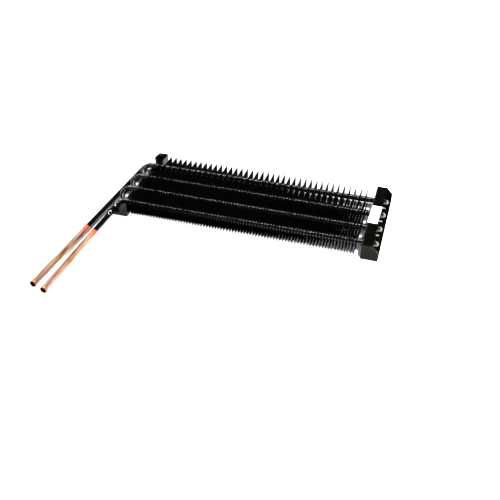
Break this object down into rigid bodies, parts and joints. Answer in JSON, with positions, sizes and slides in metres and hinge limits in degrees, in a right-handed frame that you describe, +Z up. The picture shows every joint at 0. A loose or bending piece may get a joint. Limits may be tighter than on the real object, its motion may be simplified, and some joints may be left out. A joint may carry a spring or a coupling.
{
  "type": "evaporator coil",
  "caption": "Flat finned tube coil with staggered tube passes between two folded end plates and two open connection tubes that leave one side.",
  "frame": {"origin": "middle of the whole object in plan, on the underside of the end plates", "axes": "+X along the tubes, from the connection side to the hairpin side; +Y away from the open ends of the connection tubes; +Z up"},
  "size_m": [0.4896, 0.4122, 0.0267],
  "materials": {
    "coated_sheet": "glossy black dip coat on folded sheet",
    "coated_fins": "black dip coat on thin sheet fins",
    "coated_tube": "glossy black dip coat on drawn tube",
    "copper": "drawn copper tube, bare at the open end and black coated at the coil end",
    "label_paper": "blank white adhesive label"
  },
  "bodies": {
    "root": {"left_end_plate": "coated_sheet", "right_end_plate": "coated_sheet", "long_fins": "coated_fins", "short_fins": "coated_fins", "hairpin_tube_1": "coated_tube", "hairpin_tube_2": "coated_tube", "hairpin_tube_3": "coated_tube", "hairpin_tube_4": "coated_tube", "return_bend_1": "coated_tube", "return_bend_2": "coated_tube", "return_bend_3": "coated_tube", "far_stub_tube": "copper", "near_stub_tube": "copper", "blank_label": "label_paper"}
  },
  "joints": []
}
